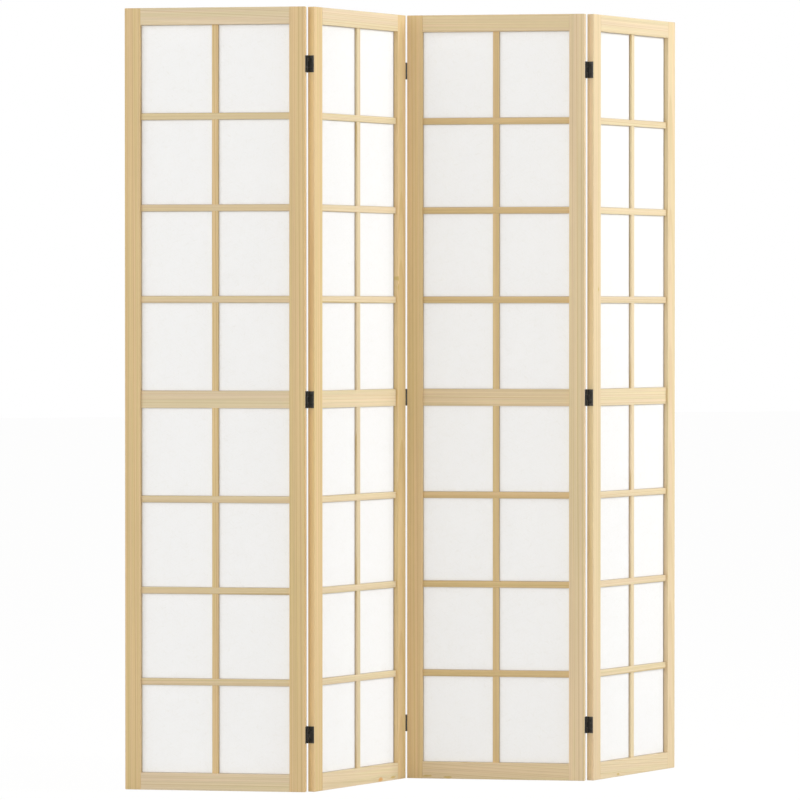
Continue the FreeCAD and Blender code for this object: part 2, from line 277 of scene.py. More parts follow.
def painted_corner_shade_group():
    """Painted shade in the corners where the wood meets the paper, but not on the panel's outer edges."""
    tree, given, made = new_group(
        "corner shade", "ShaderNodeTree", [("Place in Panel", VECTOR), ("Strength", NUMBER, 0.5)],
        [("Mask", NUMBER)])
    x, y, z = add(tree, "ShaderNodeSeparateXYZ", {0: given["Place in Panel"]}).outputs
    from_paper = reckon(tree, "ABSOLUTE", reckon(tree, "SUBTRACT", y, BAR_FRONT + BAR_THICKNESS))
    corner = ranged(tree, from_paper, PAPER_THICKNESS, PAINTED_SHADE_REACH, 1.0, 0.0, smooth=True)
    inside = 1.0
    for side, length in ((x, PANEL_WIDTH), (z, PANEL_HEIGHT)):
        from_middle = reckon(tree, "ABSOLUTE", reckon(tree, "SUBTRACT", side, length / 2))
        within = reckon(tree, "LESS_THAN", from_middle, length / 2 - UNSHADED_EDGE)
        inside = reckon(tree, "MULTIPLY", within, inside)
    shade = reckon(tree, "MULTIPLY", reckon(tree, "MULTIPLY", corner, inside), given["Strength"])
    tree.links.new(shade, made["Mask"])
    return tree


def light_depth(tree, side, length, lights):
    """How far a place along one side of a field is inside a light, below 0 behind the wood."""
    pitch = length / lights
    bar = reckon(tree, "ROUND", reckon(tree, "DIVIDE", side, pitch))
    bar = reckon(tree, "MINIMUM", reckon(tree, "MAXIMUM", bar, 1.0), lights - 1.0)
    from_bar = reckon(tree, "ABSOLUTE", reckon(tree, "SUBTRACT", side, reckon(tree, "MULTIPLY", bar, pitch)))
    from_frame = reckon(tree, "MINIMUM", side, reckon(tree, "SUBTRACT", length, side))
    return reckon(tree, "MINIMUM", reckon(tree, "SUBTRACT", from_bar, BAR_WIDTH / 2), from_frame)


def painted_edge_shade_group():
    """Painted shade along both sides of every edge where the paper meets a bar, rail or stile."""
    tree, given, made = new_group(
        "paste lines", "ShaderNodeTree", [("Place in Panel", VECTOR), ("Strength", NUMBER, 0.5)],
        [("Mask", NUMBER)])
    x, _, z = add(tree, "ShaderNodeSeparateXYZ", {0: given["Place in Panel"]}).outputs
    upper = reckon(tree, "MULTIPLY", reckon(tree, "GREATER_THAN", z, PANEL_HEIGHT / 2), -FIELD_STEP.z)
    up = reckon(tree, "ADD", reckon(tree, "SUBTRACT", z, RAIL_HEIGHT), upper)
    right = reckon(tree, "SUBTRACT", x, STILE_WIDTH)
    nearest = reckon(tree, "MINIMUM", light_depth(tree, right, OPENING_WIDTH, LIGHT_COLUMNS),
                     light_depth(tree, up, FIELD_HEIGHT, LIGHT_ROWS))
    from_edge = reckon(tree, "ABSOLUTE", nearest)
    line = ranged(tree, from_edge, EDGE_SHADE_CORE, EDGE_SHADE_END, 1.0, 0.0, smooth=True)
    tree.links.new(reckon(tree, "MULTIPLY", line, given["Strength"]), made["Mask"])
    return tree


def long_fibres_group():
    """The long soft fibres of handmade paper, lying every way, and its cloudy thickness."""
    tree, given, made = new_group(
        "paper fibres", "ShaderNodeTree",
        [("Place", VECTOR), ("Sheet", COLOUR), ("Fibre", COLOUR)],
        [("Color", COLOUR), ("Roughness", NUMBER), ("Height", NUMBER)])
    strands = None
    for angle, stretch in ((0.35, (22, 1, 420)), (-0.7, (26, 1, 380)), (1.45, (24, 1, 460))):
        turned = add(tree, "ShaderNodeMapping", {"Vector": given["Place"], "Rotation": (0, angle, 0)})
        bend = noise_of(tree, turned.outputs[0], (28, 28, 28), 1.0, "Color")
        bend = vector_of(tree, "MULTIPLY", bend, (0.0, 0.0, 9 * MM))
        lane = noise_of(tree, vector_of(tree, "ADD", turned.outputs[0], bend), stretch, 0.0)
        ridge = reckon(tree, "ABSOLUTE", reckon(tree, "SUBTRACT", lane, 0.62))
        strand = ranged(tree, ridge, 0.0, 0.02, 1.0, 0.0, smooth=True)
        strands = strand if strands is None else reckon(tree, "MAXIMUM", strands, strand)
    clouds = noise_of(tree, given["Place"], (55, 1, 55), 4.0)
    sheet = blend_of(tree, ranged(tree, clouds, 0.3, 0.7), (0.992, 0.992, 0.99, 1), (1.0, 1.0, 1.0, 1))
    sheet = blend_of(tree, 1.0, given["Sheet"], sheet, "MULTIPLY")
    shown = reckon(tree, "MULTIPLY", strands, 0.35)
    tree.links.new(blend_of(tree, shown, sheet, given["Fibre"]), made["Color"])
    tree.links.new(ranged(tree, clouds, 0.2, 0.8, 0.82, 0.95), made["Roughness"])
    relief = reckon(tree, "ADD", reckon(tree, "MULTIPLY", strands, 0.5), clouds)
    tree.links.new(relief, made["Height"])
    return tree


def handled_metal_group():
    """Satin black metal with fine mottling and rubbed patches."""
    tree, given, made = new_group(
        "handled metal", "ShaderNodeTree",
        [("Place", VECTOR), ("Coat", COLOUR), ("Rubbed", COLOUR), ("Wear", NUMBER, 0.3)],
        [("Color", COLOUR), ("Roughness", NUMBER), ("Height", NUMBER)])
    mottle = noise_of(tree, given["Place"], (900, 900, 900), 3.0)
    patches = noise_of(tree, given["Place"], (130, 130, 130), 4.0)
    rubbed = reckon(tree, "MULTIPLY", ranged(tree, patches, 0.55, 0.75, smooth=True), given["Wear"])
    tree.links.new(blend_of(tree, rubbed, given["Coat"], given["Rubbed"]), made["Color"])
    rough = reckon(tree, "ADD", ranged(tree, mottle, 0.3, 0.7, 0.28, 0.4),
                   reckon(tree, "MULTIPLY", rubbed, -0.1))
    tree.links.new(rough, made["Roughness"])
    tree.links.new(mottle, made["Height"])
    return tree


BRANCH_KNOT = branch_knot_group()
PINE_GRAIN = pine_grain_group()
PAINTED_CORNER_SHADE = painted_corner_shade_group()
PAINTED_EDGE_SHADE = painted_edge_shade_group()
PAPER_FIBRES = long_fibres_group()
HANDLED_METAL = handled_metal_group()


# Materials

def bare_material(name):
    material = bpy.data.materials.new(name)
    material.use_nodes = True
    tree = material.node_tree
    tree.nodes.clear()
    return material, tree


def finished(tree, shader):
    add(tree, "ShaderNodeOutputMaterial", {"Surface": shader})


def object_place(tree, turn, shift):
    """The Object coordinates turned and moved into a piece's own frame."""
    coordinates = tree.nodes.new("ShaderNodeTexCoord").outputs["Object"]
    inputs = {"Vector": coordinates, "Rotation": turn, "Location": shift}
    return add(tree, "ShaderNodeMapping", inputs).outputs[0]


def grouped(tree, group, inputs):
    """One of the shared effects, with its own values."""
    node = add(tree, "ShaderNodeGroup", node_tree=group)
    fill(tree, node, inputs)
    return node


def surface(tree, pattern, bump_strength, bump_distance, colour=None, **settings):
    """A Principled shader that takes its roughness and relief from a pattern, and its colour too
    unless it is given another."""
    shader = tree.nodes.new("ShaderNodeBsdfPrincipled")
    for name, value in settings.items():
        shader.inputs[name.replace("_", " ")].default_value = value
    tree.links.new(colour or pattern.outputs["Color"], shader.inputs["Base Color"])
    tree.links.new(pattern.outputs["Roughness"], shader.inputs["Roughness"])
    inputs = {"Height": pattern.outputs["Height"], "Strength": bump_strength, "Distance": bump_distance}
    bump = add(tree, "ShaderNodeBump", inputs)
    tree.links.new(bump.outputs[0], shader.inputs["Normal"])
    return shader


# Early and late wood
HONEY = (srgb(229, 202, 150), srgb(206, 173, 113))
WHEAT = (srgb(231, 210, 170), srgb(210, 184, 130))
CREAM = (srgb(232, 214, 178), srgb(212, 187, 136))
AMBER = (srgb(221, 194, 142), srgb(199, 167, 109))
WHEAT_PLANKS = {"panel_3_right_stile", "panel_4_left_stile", "panel_4_right_stile", "panel_3_top_rail",
                "panel_3_middle_rail", "panel_3_bottom_rail", "panel_1_strips"}
AMBER_BARS = {"panel_3_strips", "panel_3_uprights"}
KNOT_ORANGE = srgb(226, 163, 80)
KNOT_OLIVE = srgb(205, 177, 102)
# the colour of the painted shade in the wood's inner corners
PAINTED_SHADE_BROWN = srgb(128, 104, 76)

PAPER_SHEET = srgb(252, 252, 252)
PAPER_FIBRE = srgb(238, 237, 232)
# the colour of the painted shade along the paper's edges
EDGE_SHADE_TAN = srgb(176, 158, 128)
SHEET_SHIFT = (1.7, 0, 0.9)             # so that no two panels show the same piece of paper
PAPER_GLOW = 0.62                       # the share of its light that comes through the paper
METAL_WEAR = 0.6


def plank_colours(name):
    if name in WHEAT_PLANKS:
        return WHEAT
    if name in AMBER_BARS:
        return AMBER
    return HONEY if name.endswith("stile") or name == "panel_1_uprights" else CREAM


def panel_matrix(panel):
    """The place of a panel's own frame, read from where its paper stands."""
    low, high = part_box(f"panel_{panel}_paper")
    turn = Matrix.Rotation(-HEADING if panel % 2 else HEADING, 4, "Z")
    middle = Vector((PANEL_WIDTH / 2, BAR_FRONT + BAR_THICKNESS + PAPER_THICKNESS / 2, 0))
    centre = (low + high) / 2
    centre.z = 0
    return Matrix.Translation(centre - turn.to_3x3() @ middle) @ turn


PANEL_MATRIX = {panel: panel_matrix(panel) for panel in PANELS}
ALONG_HEIGHT = Matrix(((0, 0, 1), (1, 0, 0), (0, 1, 0)))    # from a panel's frame to an upright plank's
ALONG_WIDTH = Matrix(((1, 0, 0), (0, 0, 1), (0, -1, 0)))    # and to a level plank's


def place_in_panel(tree, panel):
    """The Object coordinates in the panel's own frame."""
    turn = PANEL_MATRIX[panel].to_3x3().inverted()
    return object_place(tree, turn.to_euler("XYZ"), -(turn @ PANEL_MATRIX[panel].translation))


def pine(name, panel, centre, upright, log, spacing, early, late, knots=(), taper=0.01, figure=1.0):
    """Pine for one plank. centre is the plank's middle in its panel's frame, log its middle in the log,
    and knots is the plank's row of KNOTS."""
    material, tree = bare_material(name)
    turn = (ALONG_HEIGHT if upright else ALONG_WIDTH) @ PANEL_MATRIX[panel].to_3x3().inverted()
    middle = PANEL_MATRIX[panel] @ Vector(centre)
    place = object_place(tree, turn.to_euler("XYZ"), Vector(log) - turn @ middle)
    masks = []
    for along, across, half_length, half_width, _ in knots:
        spot = Vector(log) + Vector((along, across, 0)) * MM
        knot = grouped(tree, BRANCH_KNOT, {"Place": place, "Centre": spot,
                                           "Half Length": half_length * MM, "Half Width": half_width * MM})
        place = knot.outputs["Place"]
        masks.append(knot.outputs["Mask"])
    pattern = grouped(tree, PINE_GRAIN, {
        "Place in Log": place, "Ring Spacing": spacing, "Taper": taper, "Figure": figure,
        "Early Wood": early, "Late Wood": late})
    colour = pattern.outputs["Color"]
    for mask, (*_, knot_colour) in zip(masks, knots):
        colour = blend_of(tree, mask, colour, knot_colour)
    # painted shade: the wood darkens towards the paper in the panel's inner corners
    shade = grouped(tree, PAINTED_CORNER_SHADE, {"Place in Panel": place_in_panel(tree, panel),
                                         "Strength": PAINTED_SHADE_STRENGTH})
    colour = blend_of(tree, shade.outputs["Mask"], colour, PAINTED_SHADE_BROWN)
    shader = surface(tree, pattern, bump_strength=0.3, bump_distance=0.08 * MM, colour=colour,
                     Specular_IOR_Level=0.4)
    finished(tree, shader.outputs[0])
    return material


def shoji_paper(panel):
    """Paper that lets some light through, so that the lattice shadows its back."""
    material, tree = bare_material(f"shoji_paper_{panel}")
    place = place_in_panel(tree, panel)
    own_sheet = vector_of(tree, "ADD", place, tuple(panel * shift for shift in SHEET_SHIFT))
    pattern = grouped(tree, PAPER_FIBRES, {"Place": own_sheet, "Sheet": PAPER_SHEET, "Fibre": PAPER_FIBRE})
    # painted shade: the paper darkens on both sides of every edge of the wood
    edge_shade = grouped(tree, PAINTED_EDGE_SHADE, {"Place in Panel": place, "Strength": EDGE_SHADE_STRENGTH})
    colour = blend_of(tree, edge_shade.outputs["Mask"], pattern.outputs["Color"], EDGE_SHADE_TAN)
    sheet = surface(tree, pattern, bump_strength=0.2, bump_distance=0.1 * MM, colour=colour,
                    Specular_IOR_Level=0.2)
    glow = add(tree, "ShaderNodeBsdfTranslucent", {"Color": colour})
    mixed = add(tree, "ShaderNodeMixShader", {0: PAPER_GLOW, 1: sheet.outputs[0], 2: glow.outputs[0]})
    finished(tree, mixed.outputs[0])
    return material


def black_metal(name, coat, rubbed, metallic, shift=(0, 0, 0)):
    """The hinges' metal. shift is where in the pattern the pieces lie."""
    material, tree = bare_material(name)
    place = object_place(tree, (0, 0, 0), shift)
    pattern = grouped(tree, HANDLED_METAL, {"Place": place, "Coat": coat, "Rubbed": rubbed,
                                            "Wear": METAL_WEAR})
    shader = surface(tree, pattern, bump_strength=0.15, bump_distance=0.03 * MM, Metallic=metallic,
                     Specular_IOR_Level=0.7)
    finished(tree, shader.outputs[0])
    return material


# Geometry Nodes

def evaluated(tree, values):
    """The plain mesh that a Geometry Nodes tree makes from these values."""
    holder = bpy.data.objects.new("holder", bpy.data.meshes.new("holder"))
    bpy.context.scene.collection.objects.link(holder)
    modifier = holder.modifiers.new("shape", "NODES")
    modifier.node_group = tree
    for item in tree.interface.items_tree:
        if item.item_type == "SOCKET" and item.in_out == "INPUT" and item.name in values:
            modifier[item.identifier] = values[item.name]
    graph = bpy.context.evaluated_depsgraph_get()
    mesh = bpy.data.meshes.new_from_object(holder.evaluated_get(graph), depsgraph=graph)
    bpy.data.objects.remove(holder)
    return mesh


def repeated(tree, geometry, count, step, count_2, step_2):
    """Geometry set out in a row, and the row set out again."""
    for number, stride in ((count, step), (count_2, step_2)):
        line = add(tree, "GeometryNodeMeshLine", {"Count": number, "Offset": stride})
        geometry = add(tree, "GeometryNodeInstanceOnPoints",
                       {"Points": line.outputs[0], "Instance": geometry}).outputs[0]
    return geometry


def moved(tree, geometry, shift=(0, 0, 0), turn=(0, 0, 0), scale=(1, 1, 1)):
    """Geometry scaled, then turned, then shifted."""
    inputs = {"Geometry": geometry, "Translation": shift, "Rotation": turn, "Scale": scale}
    return add(tree, "GeometryNodeTransform", inputs).outputs[0]


def lattice_bars_tree():
    """Eased bars in rows and fields, each half lapped where another set of bars crosses it."""
    tree, given, made = new_group(
        "lattice bars", "GeometryNodeTree",
        [("Length", NUMBER), ("Width", NUMBER), ("Thickness", NUMBER), ("Arris", NUMBER), ("Turn", VECTOR),
         ("First Bar", VECTOR), ("Bars", WHOLE), ("First Lap", VECTOR), ("Lap Size", VECTOR),
         ("Laps", WHOLE), ("Row Step", VECTOR), ("Fields", WHOLE), ("Field Step", VECTOR),
         ("Wood", MATERIAL)],
        [("Geometry", GEOMETRY)])
    half = reckon(tree, "MULTIPLY", given["Length"], 0.5)
    start = vector_from(tree, x=reckon(tree, "MULTIPLY", half, -1.0))
    end = vector_from(tree, x=half)
    line = add(tree, "GeometryNodeCurvePrimitiveLine", {"Start": start, "End": end})
    oblong = add(tree, "GeometryNodeCurvePrimitiveQuadrilateral",
                 {"Width": given["Thickness"], "Height": given["Width"]})
    eased = add(tree, "GeometryNodeFilletCurve",
                {"Curve": oblong.outputs[0], "Radius": given["Arris"], "Count": 2}, mode="POLY")
    bar = add(tree, "GeometryNodeCurveToMesh",
              {"Curve": line.outputs[0], "Profile Curve": eased.outputs[0], "Fill Caps": True}).outputs[0]
    bar = moved(tree, bar, given["First Bar"], given["Turn"])
    bars = repeated(tree, bar, given["Bars"], given["Row Step"], given["Fields"], given["Field Step"])
    bars = add(tree, "GeometryNodeRealizeInstances", {0: bars}).outputs[0]

    cutter = add(tree, "GeometryNodeMeshCube", {"Size": given["Lap Size"]}).outputs[0]
    cutter = moved(tree, cutter, given["First Lap"])
    cutters = repeated(tree, cutter, given["Laps"], given["Row Step"], given["Fields"], given["Field Step"])
    cutters = add(tree, "GeometryNodeRealizeInstances", {0: cutters}).outputs[0]
    lapped = add(tree, "GeometryNodeMeshBoolean", {"Mesh 1": bars, "Mesh 2": cutters},
                 operation="DIFFERENCE", solver="EXACT").outputs[0]
    dressed = add(tree, "GeometryNodeSetMaterial", {"Geometry": lapped, "Material": given["Wood"]})
    tree.links.new(dressed.outputs[0], made["Geometry"])
    return tree


def countersunk_screws_tree():
    """Countersunk screws with a cross slot, driven along -x, each left at a turn of its own."""
    tree, given, made = new_group(
        "countersunk screws", "GeometryNodeTree",
        [("Head Radius", NUMBER), ("Shank Radius", NUMBER), ("Length", NUMBER), ("Tip Length", NUMBER),
         ("Slot Length", NUMBER), ("Slot Width", NUMBER), ("Slot Depth", NUMBER), ("Turn", VECTOR),
         ("First Screw", VECTOR), ("Screws", WHOLE), ("Screw Step", VECTOR), ("Hinges", WHOLE),
         ("Hinge Step", VECTOR), ("Seed", WHOLE), ("Metal", MATERIAL)],
        [("Geometry", GEOMETRY)])
    head_height = reckon(tree, "SUBTRACT", given["Head Radius"], given["Shank Radius"])
    stem_top = reckon(tree, "MULTIPLY", head_height, -1.0)
    stem_length = reckon(tree, "SUBTRACT", reckon(tree, "SUBTRACT", given["Length"], head_height),
                         given["Tip Length"])
    stem_end = reckon(tree, "SUBTRACT", stem_top, stem_length)
    tip_end = reckon(tree, "MULTIPLY", given["Length"], -1.0)

    def tapered(top, bottom, depth, low, sides=32):
        """An upright cone or prism, cut off at both ends, whose bottom is at the height low."""
        inputs = {"Vertices": sides, "Radius Top": top, "Radius Bottom": bottom, "Depth": depth}
        shape = add(tree, "GeometryNodeMeshCone", inputs).outputs["Mesh"]
        return moved(tree, shape, vector_from(tree, z=low))

    head = tapered(given["Head Radius"], given["Shank Radius"], head_height, stem_top)
    stem = tapered(given["Shank Radius"], given["Shank Radius"], stem_length, stem_end)
    tip = tapered(given["Shank Radius"], SCREW_TIP_RADIUS, given["Tip Length"], tip_end)
    body = add(tree, "GeometryNodeMeshBoolean", operation="UNION", solver="EXACT")
    for part in (head, stem, tip):
        tree.links.new(part, body.inputs["Mesh 2"])

    # The blade that cuts a slot flares upwards, from half the slot's length at its bottom to the whole
    # length at the head's face, and as far again above that
    slot_bottom = reckon(tree, "MULTIPLY", given["Slot Depth"], -1.0)
    blade_height = reckon(tree, "MULTIPLY", given["Slot Depth"], 2.0)
    corner = math.sqrt(0.5)             # a square's corner is this far from its middle, for a side of 1
    blade = tapered(reckon(tree, "MULTIPLY", given["Slot Length"], corner * 1.5),
                    reckon(tree, "MULTIPLY", given["Slot Length"], corner * 0.5),
                    blade_height, slot_bottom, sides=4)
    slimness = reckon(tree, "DIVIDE", given["Slot Width"], given["Slot Length"])
    square = moved(tree, blade, turn=(0, 0, math.radians(45)))
    blade = moved(tree, square, scale=vector_from(tree, 1.0, slimness, 1.0))
    crossing = moved(tree, blade, turn=(0, 0, math.radians(90)))
    slotted = add(tree, "GeometryNodeMeshBoolean", {"Mesh 1": body.outputs[0]},
                  operation="DIFFERENCE", solver="EXACT")
    for part in (blade, crossing):
        tree.links.new(part, slotted.inputs["Mesh 2"])
    lying = moved(tree, slotted.outputs[0], turn=(0, math.radians(90), 0))

    pair = add(tree, "GeometryNodeMeshLine", {"Count": given["Screws"], "Offset": given["Screw Step"]})
    rows = repeated(tree, pair.outputs[0], given["Hinges"], given["Hinge Step"], 1, (0, 0, 0))
    spots = add(tree, "GeometryNodeRealizeInstances", {0: rows}).outputs[0]
    spin = add(tree, "FunctionNodeRandomValue", {"Seed": given["Seed"]}, data_type="FLOAT")
    least, most = [socket for socket in spin.inputs if socket.enabled and socket.name in ("Min", "Max")]
    least.default_value = 0
    most.default_value = math.pi
    angle = next(socket for socket in spin.outputs if socket.enabled)
    turn = vector_from(tree, x=angle)
    screws = add(tree, "GeometryNodeInstanceOnPoints",
                 {"Points": spots, "Instance": lying, "Rotation": turn}).outputs[0]
    screws = add(tree, "GeometryNodeRealizeInstances", {0: screws}).outputs[0]
    screws = moved(tree, screws, given["First Screw"], given["Turn"])
    dressed = add(tree, "GeometryNodeSetMaterial", {"Geometry": screws, "Material": given["Metal"]})
    tree.links.new(dressed.outputs[0], made["Geometry"])
    return tree


LATTICE_BARS = lattice_bars_tree()
COUNTERSUNK_SCREWS = countersunk_screws_tree()


# Pieces

def stand(name, mesh, body, slot, *nodes):
    """Put a finished mesh in the scene as a piece that rides on a body and stands for CAD nodes."""
    piece = bpy.data.objects.new(name, mesh)
    bpy.context.scene.collection.objects.link(piece)
    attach(piece, body)
    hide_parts(*nodes)
    return piece


def dress(node, material):
    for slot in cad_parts[node].material_slots:
        slot.material = material


variety = random.Random(11)
LOG_REACH = 6                           # planks come from this far each way along the logs
PITH_OFFSET = 6                         # mm, one way from the pith, at most
PITH_DISTANCE = (55, 95)                # mm, the other way
FRAME_RINGS = (3.4, 5.2)                # mm from one growth ring to the next
BAR_RINGS = (3.0, 4.0)


def log_spot(flat_sawn=False):
    """Where a plank lay in its log: beside the pith for straight grain, over it for arches."""
    along = variety.uniform(-LOG_REACH, LOG_REACH)
    near = variety.uniform(-PITH_OFFSET, PITH_OFFSET) * MM
    far = variety.uniform(*PITH_DISTANCE) * MM
    return (along, near, far) if flat_sawn else (along, far, near)


# From the plank's middle: along the grain, across the face, half length, half width (mm) and colour
KNOTS = {
    "panel_2_bottom_rail": [(88, -13, 10.5, 4.6, KNOT_ORANGE), (144, -12, 13, 2.8, KNOT_OLIVE)],
    "panel_3_bottom_rail": [(-154, -12.5, 11.5, 2.6, KNOT_OLIVE), (-108, -15, 9.5, 2.8, KNOT_OLIVE)],
    "panel_4_bottom_rail": [(-80, -13, 7, 3.2, KNOT_OLIVE)],
    "panel_2_right_stile": [(245, -15, 9, 2.4, KNOT_OLIVE), (264, -15.5, 6, 2.2, KNOT_OLIVE)],
    "panel_4_left_stile": [(240, 6, 5, 2.6, KNOT_OLIVE)],
}
ARCHED = {"panel_2_right_stile", "panel_4_right_stile"}
SLANTED = {"panel_2_bottom_rail", "panel_3_bottom_rail", "panel_4_bottom_rail", "panel_1_top_rail"}
TAPER = {"straight": 0.004, "arched": 0.02, "slanted": 0.05}    # how far the rings drift along a plank
FIGURE = {"straight": 0.8, "arched": 0.5, "slanted": 0.8}       # how strongly the late wood shows


def dress_frame(panel):
    """Give each plank of a panel's frame its own cut of pine."""
    half_stile = STILE_WIDTH / 2
    half_rail = RAIL_HEIGHT / 2
    middle_depth = PANEL_THICKNESS / 2
    planks = {
        "left_stile": (half_stile, PANEL_HEIGHT / 2, True),
        "right_stile": (PANEL_WIDTH - half_stile, PANEL_HEIGHT / 2, True),
        "top_rail": (PANEL_WIDTH / 2, PANEL_HEIGHT - half_rail, False),
        "middle_rail": (PANEL_WIDTH / 2, PANEL_HEIGHT / 2, False),
        "bottom_rail": (PANEL_WIDTH / 2, half_rail, False),
    }
    for plank, (x, z, upright) in planks.items():
        node = f"panel_{panel}_{plank}"
        cut = "slanted" if node in SLANTED else "arched" if node in ARCHED else "straight"
        log = log_spot(flat_sawn=cut == "arched")
        spacing = variety.uniform(*FRAME_RINGS) * MM
        dress(node, pine(f"pine_{node}", panel, (x, middle_depth, z), upright, log, spacing,
                         *plank_colours(node), KNOTS.get(node, ()), TAPER[cut], FIGURE[cut]))


def make_bars(panel, kind, piece_name, upright, values):
    """A panel's strips or its uprights, of their own pine, in the place of their solids."""
    name = f"panel_{panel}_{kind}"
    centre = (PANEL_WIDTH / 2, BAR_MIDDLE, PANEL_HEIGHT / 2)
    log = log_spot()
    spacing = variety.uniform(*BAR_RINGS) * MM
    wood = pine(f"pine_{name}", panel, centre, upright, log, spacing, *plank_colours(name))
    bars = evaluated(LATTICE_BARS, {
        "Width": BAR_WIDTH, "Thickness": BAR_THICKNESS, "Arris": BAR_ARRIS, "Laps": LIGHT_ROWS - 1,
        "Row Step": ROW_STEP, "Fields": FIELDS, "Field Step": FIELD_STEP, "Wood": wood, **values})
    bars.transform(PANEL_MATRIX[panel])
    stand(piece_name, bars, f"panel_{panel}", "pine_lattice", f"panel_{panel}_lattice_{kind}")


def make_lattice(panel):
    """The strips are lapped on their back halves and the uprights on their front halves."""
    cut_width = BAR_WIDTH + 2 * OVERCUT
    cut_depth = BAR_THICKNESS / 2 + OVERCUT
    across = PANEL_WIDTH / 2
    make_bars(panel, "strips", f"panel_{panel}_cross_strips", False, {
        "Length": OPENING_WIDTH, "Turn": Vector((0, 0, 0)), "Bars": LIGHT_ROWS - 1,
        "First Bar": Vector((across, BAR_MIDDLE, FIRST_ROW)),
        "First Lap": Vector((across, BAR_MIDDLE + cut_depth / 2, FIRST_ROW)),
        "Lap Size": Vector((BAR_WIDTH, cut_depth, cut_width))})
    make_bars(panel, "uprights", f"panel_{panel}_uprights", True, {
        "Length": FIELD_HEIGHT, "Turn": Vector((0, math.radians(-90), 0)), "Bars": LIGHT_COLUMNS - 1,
        "First Bar": Vector((across, BAR_MIDDLE, RAIL_HEIGHT + FIELD_HEIGHT / 2)),
        "First Lap": Vector((across, BAR_MIDDLE - cut_depth / 2, FIRST_ROW)),
        "Lap Size": Vector((cut_width, cut_depth, BAR_WIDTH))})


def softened_copy(node, material):
    """A merged copy of a CAD node's mesh whose edges can take a bevel."""
    mesh = bpy.data.meshes.new(f"{node}_softened")
    work = bmesh.new()
    work.from_mesh(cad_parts[node].data)
    bmesh.ops.remove_doubles(work, verts=work.verts, dist=MERGE_DISTANCE)
    bmesh.ops.dissolve_limit(work, angle_limit=FLAT_ANGLE, verts=work.verts, edges=work.edges)
    work.to_mesh(mesh)
    work.free()
    mesh.materials.clear()
    mesh.materials.append(material)
    for face in mesh.polygons:
        face.use_smooth = True
        face.material_index = 0
    mesh.set_sharp_from_angle(angle=SHARP_ANGLE)
    return mesh


def ease_edges(piece):
    bevel = piece.modifiers.new("eased_edges", "BEVEL")
    bevel.width = METAL_ARRIS
    bevel.segments = 2
    bevel.limit_method = "ANGLE"
    bevel.angle_limit = BEVEL_ANGLE
    bevel.harden_normals = True


def make_hinges(fold, leaf_metal, pin_metal, screw_metal):
    """The three hinges of a fold. Their knuckles stand in front at the second fold, else behind."""
    screw_depth = SCREW_INSET if fold % 2 == 0 else PANEL_THICKNESS - SCREW_INSET
    lowest = HINGE_TO_END - SCREW_SPACING / 2
    hinge_step = PANEL_HEIGHT / 2 - HINGE_TO_END
    sides = {"left": (fold, PANEL_WIDTH + LEAF_THICKNESS, 0), "right": (fold + 1, -LEAF_THICKNESS, math.pi)}
    for side, (panel, x, turn) in sides.items():
        body = f"panel_{panel}"
        for level in LEVELS:
            node = f"hinge_{fold}_{level}_{side}_leaf"
            leaf = softened_copy(node, leaf_metal)
            ease_edges(stand(f"fold_{fold}_{level}_{side}_leaf", leaf, body, "hinge_metal", node))
        screws = evaluated(COUNTERSUNK_SCREWS, {
            "Head Radius": SCREW_HEAD_RADIUS, "Shank Radius": SCREW_SHANK_RADIUS, "Length": SCREW_LENGTH,
            "Tip Length": SCREW_TIP_LENGTH, "Slot Length": SLOT_LENGTH, "Slot Width": SLOT_WIDTH,
            "Slot Depth": SLOT_DEPTH, "Turn": Vector((0, 0, turn)),
            "First Screw": Vector((x, screw_depth, lowest)),
            "Screws": SCREWS_IN_LEAF, "Screw Step": Vector((0, 0, SCREW_SPACING)),
            "Hinges": len(LEVELS), "Hinge Step": Vector((0, 0, hinge_step)),
            "Seed": fold * 2 + panel, "Metal": screw_metal})
        screws.transform(PANEL_MATRIX[panel])
        stand(f"fold_{fold}_{side}_screws", screws, body, "hinge_screws", f"hinge_{fold}_{side}_screws")
    pins = softened_copy(f"hinge_{fold}_pins", pin_metal)
    ease_edges(stand(f"fold_{fold}_pins", pins, f"panel_{fold}", "hinge_metal", f"hinge_{fold}_pins"))


leaf_metal = black_metal("black_hinge_leaf", srgb(42, 39, 33), srgb(108, 104, 96), metallic=0.0)
pin_metal = black_metal("black_hinge_pin", srgb(66, 65, 63), srgb(150, 148, 144), metallic=0.6,
                        shift=(0.3, 0.1, 0.2))
screw_metal = black_metal("black_screw", srgb(34, 32, 29), srgb(110, 105, 98), metallic=0.3,
                          shift=(0.7, 0.2, 0.5))
for panel in PANELS:
    dress_frame(panel)
    make_lattice(panel)
    dress(f"panel_{panel}_paper", shoji_paper(panel))
for fold in FOLDS:
    make_hinges(fold, leaf_metal, pin_metal, screw_metal)


# The studio

FLOOR_REACH = 40
FLOOR_COLOUR = srgb(196, 194, 190)
FLOOR_WHITE = 1.065                     # seen directly, it is as white as what is behind it
FLOOR_WHITE_SHARE = 0.9                 # and the rest of it shows the screen's shadow
SOFT_LIGHT_COLOUR = (1.0, 0.99, 0.975, 1)
WHITE = (1, 1, 1, 1)
CAMERA_SENSOR = 36                      # mm wide
CAMERA_LENS = 243.8                     # mm
CAMERA_PLACE = (-5.1022, -10.8336, 1.0339)
CAMERA_DIP = 0.902                      # degrees below level
CAMERA_ASIDE = 24.93                    # degrees to the right of straight back


def seen_directly(tree):
    """1 for the rays that show the background: the camera's own, and those off gloss or through paper."""
    path = tree.nodes.new("ShaderNodeLightPath").outputs
    both = reckon(tree, "MAXIMUM", path["Is Camera Ray"], path["Is Glossy Ray"])
    return reckon(tree, "MAXIMUM", both, path["Is Transmission Ray"])


